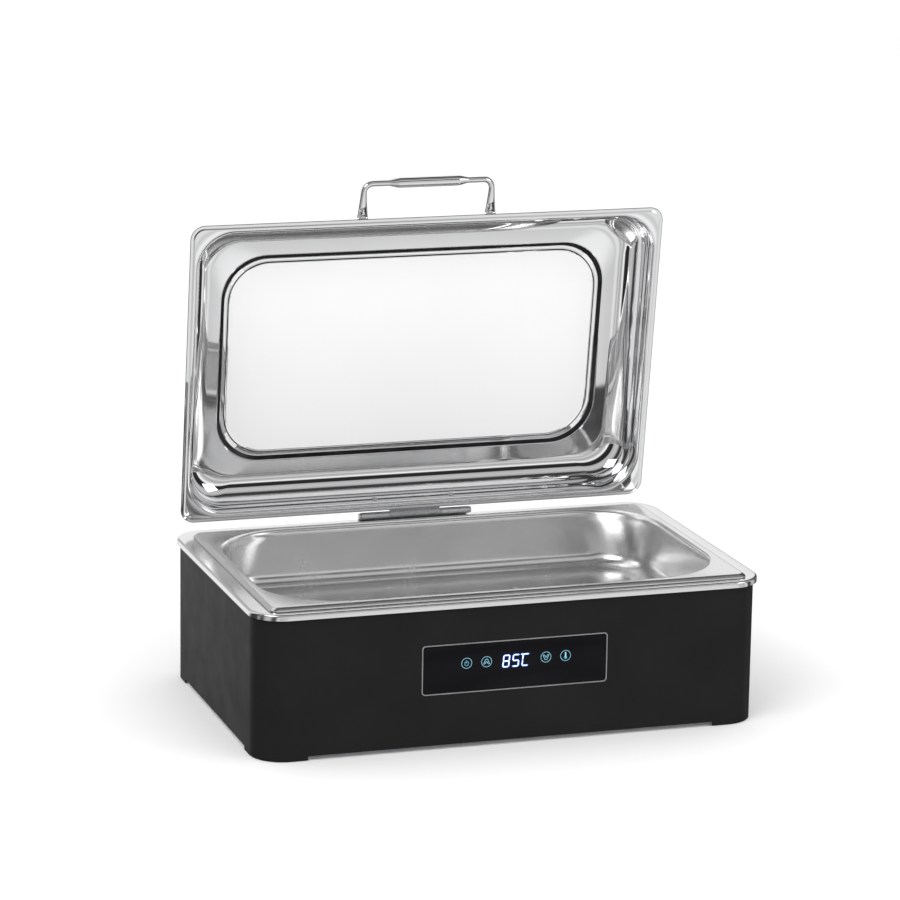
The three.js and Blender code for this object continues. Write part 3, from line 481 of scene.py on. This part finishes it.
joint = frame["record"]["behaviour"]["joints"][0]
HINGE = Vector(joint["pos_m"])
OPEN = math.radians(joint["range_deg"][1])
OPENED = Matrix.Translation(HINGE) @ Matrix.Rotation(-OPEN, 4, "X") @ Matrix.Translation(-HINGE)

LID_X = 273 * MM
LID_Y = 173 * MM
LID_CENTRE_Y = RIM_Y - 5 * MM
LID_LOW = RIM_TOP + 5.2 * MM
LID_HEIGHT = 50 * MM
LID_CORNER = 16 * MM
LID_FLANGE = 9 * MM
LID_WALL_CORNER = 42 * MM
LID_EDGE = 30 * MM
LID_PANEL_RISE = 3.8 * MM

# The raised middle of the lid: how far in from the foot of the step, and how high.
PANEL_STEP = [
    (-3.6 * MM, 0.83 * MM), (-2.9 * MM, 0.89 * MM), (-2.5 * MM, 0.95 * MM), (-2.1 * MM, 1.06 * MM),
    (-1.8 * MM, 1.20 * MM), (1.8 * MM, 3.45 * MM), (2.1 * MM, 3.59 * MM), (2.5 * MM, 3.70 * MM),
    (2.9 * MM, 3.77 * MM), (3.2 * MM, 3.8 * MM), (6.0 * MM, 3.8 * MM), (6.15 * MM, 3.78 * MM),
    (6.7 * MM, 3.45 * MM), (7.0 * MM, 3.38 * MM), (7.3 * MM, 3.45 * MM), (7.85 * MM, 3.78 * MM),
    (8.0 * MM, 3.8 * MM), (9 * MM, 3.8 * MM),
]
# The rows of faces in that step that carry the painted dark reflection bands, and the number of hem rows
# that carry the painted dark edge shade.
PAINTED_BAND_ROWS = (3, 4, 5, 11, 12, 13)
PAINTED_EDGE_ROWS = 5


def opened(item):
    """Turns a piece that is drawn on the closed lid to where the open lid has it."""
    item.data.transform(OPENED)
    return item


def lid_shell():
    top = LID_LOW + LID_HEIGHT - LID_PANEL_RISE
    hem = 3.6 * MM
    hem_rise = 0.9 * MM

    def flange(inset, rise):
        return ring(LID_X - inset, LID_Y - inset, LID_CORNER - inset, LID_LOW + rise, LID_CENTRE_Y)

    def wall(inset, z):
        corner = LID_WALL_CORNER - 0.12 * inset
        return ring(LID_X - LID_FLANGE - inset, LID_Y - LID_FLANGE - inset, corner, z, LID_CENTRE_Y)

    def panel(inset, rise):
        return ring(221.5 * MM - inset, 118.8 * MM - inset, 50 * MM - 0.5 * inset, top + rise, LID_CENTRE_Y)

    def crown(under):
        """The rings from the foot of the wall to the middle, moved in from the outer face."""
        root = 2.4 * MM
        edge = LID_EDGE - under
        rings = [wall(*pair) for pair in arc((-root, LID_LOW + SHEET + root), root + under, -90, 0, 5)]
        rings += [wall(*pair) for pair in arc((LID_EDGE, top - LID_EDGE), edge, 180, 95, 14)]
        rings += [panel(inset, rise - under) for inset, rise in PANEL_STEP]
        return rings

    outer = list(reversed(crown(0)))
    outer += [flange(hem + 1.2 * MM, SHEET + 0.3 * MM), flange(hem, SHEET + hem_rise)]
    outer += [flange(0.5 * MM, SHEET + hem_rise), flange(0.1 * MM, SHEET + hem_rise - 0.2 * MM)]
    outer += [flange(0, SHEET + hem_rise - 0.6 * MM), flange(0, hem_rise + 0.3 * MM)]
    inner = [flange(0.2 * MM, hem_rise + 0.05 * MM), flange(0.6 * MM, hem_rise)]
    inner += [flange(hem - 0.4 * MM, hem_rise), flange(hem, hem_rise - 0.1 * MM)]
    inner += [flange(hem + 1.1 * MM, 0.1 * MM), flange(hem + 1.5 * MM, 0)]
    inner += crown(SHEET)
    lid = sheet_piece("lid_pressed", outer, inner, polished_steel)
    lid.data.materials.append(painted_reflection_steel)
    lid.data.materials.append(painted_edge_steel)
    lid.data.materials.append(painted_band_steel)
    painted_edge_row = len(crown(0)) + 2
    step_row = len(outer) + len(inner) - len(PANEL_STEP)
    around = 4 * (CORNER_STEPS + 1)
    # Bounds of the underside middle that gets the painted bright reflection.
    painted_reflection_x = 212 * MM
    painted_reflection_y = 105 * MM
    for face in lid.data.polygons:
        row = face.index // around
        inside = abs(face.center.x) < painted_reflection_x and abs(face.center.y - LID_CENTRE_Y) < painted_reflection_y
        # Step rows: painted dark reflection bands.
        if row - step_row in PAINTED_BAND_ROWS:
            face.material_index = 3
        # Hem's outer rows: painted dark edge shade.
        elif painted_edge_row <= row < painted_edge_row + PAINTED_EDGE_ROWS:
            face.material_index = 2
        elif inside and face.normal.z < 0:
            face.material_index = 1
    return opened(lid)


place_piece(lid_shell(), "lid", "polished_steel", "lid_shell")


# ---------------------------------------------------------------- lid handle

HANDLE_X = 74 * MM
HANDLE_Z = LID_LOW + 20.6 * MM
WALL_Y = LID_CENTRE_Y - LID_Y + LID_FLANGE - 0.3 * MM
BAR_Y = WALL_Y - 43 * MM
ROD = 3.3 * MM
GRIP = 5.8 * MM
GRIP_HALF = 33 * MM
GRIP_TAPER = 14 * MM
BEND = 10 * MM
FOOT_HALF = 6.5 * MM
LEG_WIDE = 6.1 * MM
LEG_THICK = 2.0 * MM
FOOT_THICK = 1.3 * MM
FOOT_LOW = LID_LOW + 5.2 * MM


def section(centre, across, through, half_across, half_through, square=2.0, sides=24):
    """Points round a superellipse: square 2 is an ellipse, more is nearer to a rectangle."""
    points = []
    for index in range(sides):
        angle = 2 * math.pi * index / sides
        ellipse = (math.cos(angle), math.sin(angle))
        reach = [math.copysign(abs(value) ** (2 / square), value) for value in ellipse]
        points.append(centre + across * half_across * reach[0] + through * half_through * reach[1])
    return points


def smooth_step(value):
    value = min(max(value, 0.0), 1.0)
    return value * value * (3 - 2 * value)


def handle_half(side):
    """Sections from the end of one foot, up its leg and round the bend to the middle of the bar."""
    x_way = Vector((side, 0, 0))
    y_way = Vector((0, -1, 0))
    z_way = Vector((0, 0, 1))
    leg = Vector((side * HANDLE_X, 0, 0))
    flat_y = WALL_Y - FOOT_THICK
    turn = 5 * MM
    rings = []
    for step in range(7):
        angle = math.pi / 2 * step / 6
        low = FOOT_LOW + FOOT_HALF * (1 - math.sin(angle))
        width = FOOT_HALF * max(math.sin(math.acos(1 - (low - FOOT_LOW) / FOOT_HALF)), 0.12)
        rings.insert(0, section(leg + Vector((0, flat_y, low)), x_way, y_way, width, FOOT_THICK, 3.5))
    foot_top = leg + Vector((0, flat_y, HANDLE_Z - turn - 3 * MM))
    rings.append(section(foot_top, x_way, y_way, FOOT_HALF, FOOT_THICK, 3.5))
    for step in range(9):
        part = step / 8
        angle = math.pi / 2 * part
        place = Vector((0, flat_y - turn * (1 - math.cos(angle)), HANDLE_Z - turn + turn * math.sin(angle)))
        through = y_way * math.cos(angle) - z_way * math.sin(angle)
        across = FOOT_HALF + (LEG_WIDE - FOOT_HALF) * part
        depth = FOOT_THICK + (LEG_THICK - FOOT_THICK) * part
        rings.append(section(leg + place, x_way, through, across, depth, 3.5 - 1.2 * part))
    start = flat_y - turn
    leg_length = start - BEND - BAR_Y
    for step in range(1, 9):
        part = step / 8
        place = Vector((0, start - leg_length * part, HANDLE_Z))
        across = LEG_WIDE + (ROD - LEG_WIDE) * part ** 0.8
        depth = LEG_THICK + (ROD - LEG_THICK) * part
        rings.append(section(leg + place, x_way, -z_way, across, depth, 2.3 - 0.3 * part))
    for step in range(11):
        angle = math.pi / 2 * step / 10
        bend_x = HANDLE_X - BEND * (1 - math.cos(angle))
        place = Vector((side * bend_x, BAR_Y + BEND * (1 - math.sin(angle)), HANDLE_Z))
        across = x_way * math.cos(angle) + y_way * math.sin(angle)
        rings.append(section(place, across, -z_way, ROD, ROD))
    for step in range(15):
        along = GRIP_HALF + GRIP_TAPER * (1 - step / 14)
        part = smooth_step(step / 14)
        radius = ROD + (GRIP - ROD) * part
        rings.append(section(Vector((side * along, BAR_Y, HANDLE_Z)), y_way, -z_way, radius, radius))
    return rings


def lid_handle():
    left = handle_half(-1)
    right = [
        [Vector((-point.x, point.y, point.z)) for point in points] for points in left
    ]
    rings = left + list(reversed(right))
    return opened(loft("lid_handle_bar", rings, polished_steel, cap_first=True, cap_last=True, sharp=50))


place_piece(lid_handle(), "lid", "polished_steel", "lid_handle")


# ---------------------------------------------------------------- control panel

glass_low, glass_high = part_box("control_glass")
bezel_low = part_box("panel_bezel")[0]
PANEL_Z = (glass_low.z + glass_high.z) / 2
GLASS_Y = glass_low.y


def panel_bezel():
    inner_x = 102.2 * MM
    inner_z = 26.2 * MM
    front = bezel_low.y
    back = FRONT_Y + 5 * MM
    face = FRONT_Y - 0.3 * MM

    def frame_ring(half_x, half_z, corner, y):
        return [Vector((p.x, y, PANEL_Z + p.y)) for p in ring(half_x, half_z, corner, 0, steps=8)]

    rings = [
        frame_ring(inner_x + 0.7 * MM, inner_z + 0.7 * MM, 3.9 * MM, front),
        frame_ring(inner_x + 1.0 * MM, inner_z + 1.0 * MM, 4.2 * MM, front + 0.3 * MM),
        frame_ring(inner_x + 1.0 * MM, inner_z + 1.0 * MM, 4.2 * MM, face),
        frame_ring(102.6 * MM, 26.6 * MM, 3.6 * MM, face),
        frame_ring(102.6 * MM, 26.6 * MM, 3.6 * MM, back),
        frame_ring(inner_x - 0.3 * MM, inner_z - 0.3 * MM, 3 * MM, back),
        frame_ring(inner_x - 0.3 * MM, inner_z - 0.3 * MM, 3 * MM, front + 0.2 * MM),
        frame_ring(inner_x, inner_z, 3.2 * MM, front),
    ]
    return loft("panel_frame", rings, bezel_metal, closed=True)


place_piece(panel_bezel(), "base", "bezel_metal", "panel_bezel")


def control_glass():
    half_x = (glass_high.x - glass_low.x) / 2
    half_z = (glass_high.z - glass_low.z) / 2

    def pane(inset, y):
        outline = ring(half_x - inset, half_z - inset, 2.7 * MM - inset, 0, steps=8)
        return [Vector((p.x, y, PANEL_Z + p.y)) for p in outline]

    rings = [pane(0.5 * MM, GLASS_Y), pane(0.15 * MM, GLASS_Y + 0.12 * MM)]
    rings += [pane(0, GLASS_Y + 0.5 * MM), pane(0, glass_high.y)]
    return loft("touch_glass", rings, panel_glass, cap_first=True, cap_last=True, sharp=50)


place_piece(control_glass(), "base", "panel_glass", "control_glass")

ICON_Z = PANEL_Z + 5.1 * MM
ICON_RADIUS = 5.6 * MM
LINE = 0.26 * MM
PRINT_Y = GLASS_Y - 0.04 * MM


def printed(name, outlines, material, sunk=0.0):
    """Flat marks just in front of the glass. Each outline is a closed list of x and z."""
    work = bmesh.new()
    for outline in outlines:
        front = [work.verts.new((x, PRINT_Y + sunk, z)) for x, z in outline]
        back = [work.verts.new((x, GLASS_Y + 0.01 * MM, z)) for x, z in outline]
        work.faces.new(front)
        work.faces.new(reversed(back))
        for index, point in enumerate(front):
            after = (index + 1) % len(front)
            work.faces.new((point, back[index], back[after], front[after]))
    return finish_mesh(name, work, material)


def stroke(start, end, half=LINE):
    """The outline of a straight line with round ends."""
    start, end = Vector(start), Vector(end)
    way = math.atan2(end.y - start.y, end.x - start.x)
    outline = []
    for centre, turn in ((end, way - math.pi / 2), (start, way + math.pi / 2)):
        for step in range(7):
            angle = turn + math.pi * step / 6
            outline.append((centre.x + half * math.cos(angle), centre.y + half * math.sin(angle)))
    return outline


def strokes(points, closed=False, half=LINE):
    ends = points[1:] + points[:1] if closed else points[1:]
    return [stroke(a, b, half) for a, b in zip(points, ends)]


def circle(centre, radius, start=0, end=360, steps=40):
    angles = [math.radians(start + (end - start) * step / steps) for step in range(steps + 1)]
    return [(centre[0] + radius * math.cos(a), centre[1] + radius * math.sin(a)) for a in angles]


def icon_ring(x):
    return strokes(circle((x, ICON_Z), ICON_RADIUS))


def power_icon(x):
    marks = icon_ring(x) + strokes(circle((x, ICON_Z - 0.3 * MM), 2.3 * MM, 125, 415, 24))
    return marks + [stroke((x, ICON_Z + 2.8 * MM), (x, ICON_Z + 0.2 * MM))]


def chevron_icon(x, way):
    """A broad folded ribbon that points up or down, drawn as its outline."""
    tip = ICON_Z + way * 2.7 * MM
    fold = ICON_Z + way * 0.3 * MM
    foot = ICON_Z - way * 2.4 * MM
    shape = [(x - 3.3 * MM, foot), (x - 1.1 * MM, tip), (x + 1.1 * MM, tip), (x + 3.3 * MM, foot),
             (x + 1.9 * MM, foot), (x, fold), (x - 1.9 * MM, foot)]
    return icon_ring(x) + strokes(shape, closed=True)


def thermometer_icon(x):
    bulb = (x, ICON_Z - 1.9 * MM)
    marks = icon_ring(x) + strokes(circle(bulb, 1.2 * MM, 120, 420, 18), half=0.45 * MM)
    marks.append(stroke((x, ICON_Z + 3.1 * MM), (x, ICON_Z - 1.6 * MM), 0.75 * MM))
    return marks


for icon_name, marks in (
    ("icon_power", power_icon(-54 * MM)),
    ("icon_up", chevron_icon(-32 * MM, 1)),
    ("icon_down", chevron_icon(34 * MM, -1)),
    ("icon_thermometer", thermometer_icon(56 * MM)),
):
    place_piece(printed(icon_name, marks, icon_light), "base", "panel_glass")

DIGIT_HEIGHT = 12.4 * MM
DIGIT_WIDTH = 6.4 * MM
DIGIT_LOW = PANEL_Z - 2.1 * MM
DIGIT_SLANT = 0.1
SEGMENTS = {"8": "abcdefg", "5": "acdfg", "C": "hadef"}


def digit(x, figure, half=0.48 * MM, gap=0.75 * MM):
    """Seven-segment outlines: a top, b and c right, d bottom, e and f left, g middle, h a tick before a."""
    middle = DIGIT_HEIGHT / 2
    corner = {
        "a": ((0, DIGIT_HEIGHT), (DIGIT_WIDTH, DIGIT_HEIGHT)),
        "b": ((DIGIT_WIDTH, DIGIT_HEIGHT), (DIGIT_WIDTH, middle)),
        "c": ((DIGIT_WIDTH, middle), (DIGIT_WIDTH, 0)),
        "d": ((0, 0), (DIGIT_WIDTH, 0)),
        "e": ((0, 0), (0, middle)),
        "f": ((0, middle), (0, DIGIT_HEIGHT)),
        "g": ((0, middle), (DIGIT_WIDTH, middle)),
        "h": ((-2.6 * MM, DIGIT_HEIGHT), (0.4 * MM, DIGIT_HEIGHT)),
    }
    outlines = []
    for letter in SEGMENTS[figure]:
        start, end = (Vector(point) for point in corner[letter])
        along = (end - start).normalized()
        across = Vector((-along.y, along.x)) * half
        start += along * gap
        end -= along * gap
        shape = [start - along * half, start + across, end + across]
        shape += [end + along * half, end - across, start - across]
        outlines.append([(x + point.x + DIGIT_SLANT * point.y, DIGIT_LOW + point.y) for point in shape])
    return outlines


FIGURES = ((-14 * MM, "8"), (-3.4 * MM, "5"), (7.4 * MM, "C"))
lit = [outline for x, figure in FIGURES for outline in digit(x, figure)]
# Wider outlines just behind the digits: a painted glow.
halo = [outline for x, figure in FIGURES for outline in digit(x, figure, half=1.1 * MM, gap=0.3 * MM)]
place_piece(printed("display_digits", lit, digit_light), "base", "panel_glass")
place_piece(printed("display_halo", halo, halo_light, 0.03 * MM), "base", "panel_glass")


# ---------------------------------------------------------------- feet, screws and rivets


def low_centre(node):
    low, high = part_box(node)
    return Vector(((low.x + high.x) / 2, (low.y + high.y) / 2, low.z))


UP = Vector((0, 0, 1))
for corner in ("front_left", "front_right", "rear_left", "rear_right"):
    foot = turned(f"rubber_foot_{corner}", [
        (2.4 * MM, 2.6 * MM), (5.2 * MM, 2.6 * MM), (5.2 * MM, 0.3 * MM), (5.5 * MM, 0), (10.9 * MM, 0),
        (11.6 * MM, 0.25 * MM), (12 * MM, 0.9 * MM), (11.7 * MM, 4.4 * MM), (11.3 * MM, 4.7 * MM),
        (2.4 * MM, 4.7 * MM),
    ], low_centre(f"foot_{corner}"), UP, black_rubber, sides=48)
    place_piece(foot, "base", "black_rubber", f"foot_{corner}")


def pan_screw(name, node, start, axis, head, shank, length, thick, body, material, slot):
    """A pan-head screw or rivet: start is the outer face of its head, axis points inwards."""
    profile = [
        (0, 0), (head * 0.55, 0.05 * thick), (head * 0.85, 0.25 * thick), (head, 0.7 * thick), (head, thick),
        (shank, thick), (shank, length - 0.4 * MM), (shank * 0.8, length), (0, length),
    ]
    item = turned(name, profile, start, axis, material, sides=28)
    return place_piece(item, body, slot, node)


for corner in ("front_left", "front_right", "rear_left", "rear_right"):
    node = f"foot_screw_{corner}"
    low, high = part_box(node)
    pan_screw(f"screw_{node}", node, low_centre(node), UP, 4.2 * MM, 2 * MM, high.z - low.z, 1.7 * MM,
              "base", zinc_steel, "zinc_steel")

for node in ("hinge_screw_lower_left", "hinge_screw_lower_right", "hinge_screw_upper_left",
             "hinge_screw_upper_right", "inlet_screw_left", "inlet_screw_right"):
    low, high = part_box(node)
    start = Vector(((low.x + high.x) / 2, high.y, (low.z + high.z) / 2))
    head = (high.x - low.x) / 2
    pan_screw(f"screw_{node}", node, start, (0, -1, 0), head, head / 2.1, high.y - low.y, head / 1.9,
              "base", zinc_steel, "zinc_steel")

turn_open = OPENED.to_3x3()
for node, inwards in (("handle_rivet_left", 1), ("handle_rivet_right", 1), ("hinge_rivet_left", -1),
                      ("hinge_rivet_right", -1)):
    low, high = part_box(node)
    centre = (low + high) / 2
    axis = turn_open @ Vector((0, inwards, 0))
    length = (high.z - low.z) * 0.9
    profile = [
        (0, -length / 2), (2.2 * MM, 0.15 * MM - length / 2), (3.2 * MM, 0.7 * MM - length / 2),
        (3.5 * MM, 1.3 * MM - length / 2), (2 * MM, 1.4 * MM - length / 2), (2 * MM, length / 2 - 1 * MM),
        (3.1 * MM, length / 2 - 0.9 * MM), (2.8 * MM, length / 2 - 0.2 * MM), (0, length / 2),
    ]
    head = turned(f"turned_{node}", profile, centre, axis, brushed_steel, sides=28)
    place_piece(head, "lid", "brushed_steel", node)


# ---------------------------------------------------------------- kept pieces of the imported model

BY_SLOT = {
    "black_coat": black_coat, "polished_steel": polished_steel, "brushed_steel": brushed_steel,
    "zinc_steel": zinc_steel, "panel_glass": panel_glass, "bezel_metal": bezel_metal,
    "circuit_board": circuit_board, "black_plastic": black_plastic, "light_plastic": light_plastic,
    "grey_cable": grey_cable, "transformer_tape": transformer_tape, "mineral_wool": mineral_wool,
    "black_rubber": black_rubber,
}

for part in frame["record"]["subparts"]:
    node = frame["nodes"][part["node"]]
    node.data.materials.clear()
    node.data.materials.append(BY_SLOT[part["material_slot"]])
    node.data.shade_smooth()
    node.data.set_sharp_from_angle(angle=math.radians(35))
    rounding = node.modifiers.new("edges", "BEVEL")
    rounding.width = 0.25 * MM
    rounding.segments = 2
    rounding.limit_method = "ANGLE"
    rounding.angle_limit = math.radians(40)


# ---------------------------------------------------------------- studio


def plain_floor():
    mesh = bpy.data.meshes.new("floor")
    reach = 30
    corners = [(-reach, -reach, 0), (reach, -reach, 0), (reach, reach, 0), (-reach, reach, 0)]
    mesh.from_pydata(corners, [], [(0, 1, 2, 3)])
    material = bpy.data.materials.new("floor")
    material.use_nodes = True
    shader = material.node_tree.nodes["Principled BSDF"]
    shader.inputs["Base Color"].default_value = (0.92, 0.92, 0.92, 1)
    shader.inputs["Roughness"].default_value = 0.9
    shader.inputs["Specular IOR Level"].default_value = 0.0
    mesh.materials.append(material)
    item = add_object("floor", mesh)
    item.visible_glossy = False


# What the steel mirrors: degrees away from the middle of the front softbox, and brightness there.
FRONT_SOFTBOX = (0.30, -0.82, -0.475)
STUDIO_BANDS = [
    (0, 1.0), (3, 0.95), (5, 0.78), (9, 0.66), (14, 0.85), (20, 0.80), (25, 0.45), (29, 0.75), (34, 0.42),
    (40, 0.62), (43, 1.0), (46, 1.0), (49, 0.03), (62, 0.02), (65, 0.5), (76, 0.6), (84, 0.45), (88, 0.05),
    (99, 0.05), (101, 0.45), (105, 0.45), (107, 0.04), (131, 0.04), (135, 0.95), (150, 0.95), (156, 0.5),
    (180, 0.5),
]


ROOM_STRENGTH = 1.1


def studio_world():
    """Plain white to the eye and to matt surfaces; softboxes and dark gaps to polished steel."""
    world = bpy.data.worlds.new("studio")
    scene.world = world
    world.use_nodes = True
    nodes = world.node_tree.nodes
    links = world.node_tree.links
    nodes.clear()
    way = nodes.new("ShaderNodeTexCoord").outputs["Generated"]
    dot = nodes.new("ShaderNodeVectorMath")
    dot.operation = "DOT_PRODUCT"
    dot.inputs[1].default_value = Vector(FRONT_SOFTBOX).normalized()
    links.new(way, dot.inputs[0])
    angle = nodes.new("ShaderNodeMath")
    angle.operation = "ARCCOSINE"
    links.new(dot.outputs["Value"], angle.inputs[0])
    share = nodes.new("ShaderNodeMath")
    share.operation = "DIVIDE"
    share.inputs[1].default_value = math.pi
    links.new(angle.outputs[0], share.inputs[0])
    ramp = nodes.new("ShaderNodeValToRGB")
    stops = ramp.color_ramp.elements
    while len(stops) < len(STUDIO_BANDS):
        stops.new(1.0)
    for stop, (degrees, brightness) in zip(stops, STUDIO_BANDS):
        stop.position = degrees / 180
        stop.color = (brightness, brightness, brightness, 1)
    links.new(share.outputs[0], ramp.inputs["Fac"])
    mirrored = nodes.new("ShaderNodeBackground")
    links.new(ramp.outputs["Color"], mirrored.inputs["Color"])
    plain = nodes.new("ShaderNodeBackground")
    plain.inputs["Color"].default_value = (1, 1, 1, 1)
    plain.inputs["Strength"].default_value = ROOM_STRENGTH
    path = nodes.new("ShaderNodeLightPath")
    mix = nodes.new("ShaderNodeMixShader")
    links.new(path.outputs["Is Glossy Ray"], mix.inputs["Fac"])
    links.new(plain.outputs[0], mix.inputs[1])
    links.new(mirrored.outputs[0], mix.inputs[2])
    output = nodes.new("ShaderNodeOutputWorld")
    links.new(mix.outputs[0], output.inputs["Surface"])


def area_light(name, size, place, aim, power):
    lamp = bpy.data.lights.new(name, "AREA")
    lamp.shape = "RECTANGLE"
    lamp.size, lamp.size_y = size
    lamp.energy = power
    item = add_object(name, lamp)
    facing = (Vector(place) - Vector(aim)).to_track_quat("Z", "Y")
    item.matrix_world = Matrix.Translation(place) @ facing.to_matrix().to_4x4()


plain_floor()
studio_world()
area_light("key", (2.2, 1.6), (-2.4, -1.8, 2.6), (0, 0, 0.2), 40)
area_light("fill", (1.6, 1.6), (2.6, -2.4, 1.8), (0, 0, 0.2), 15)
scene.view_settings.view_transform = "Standard"
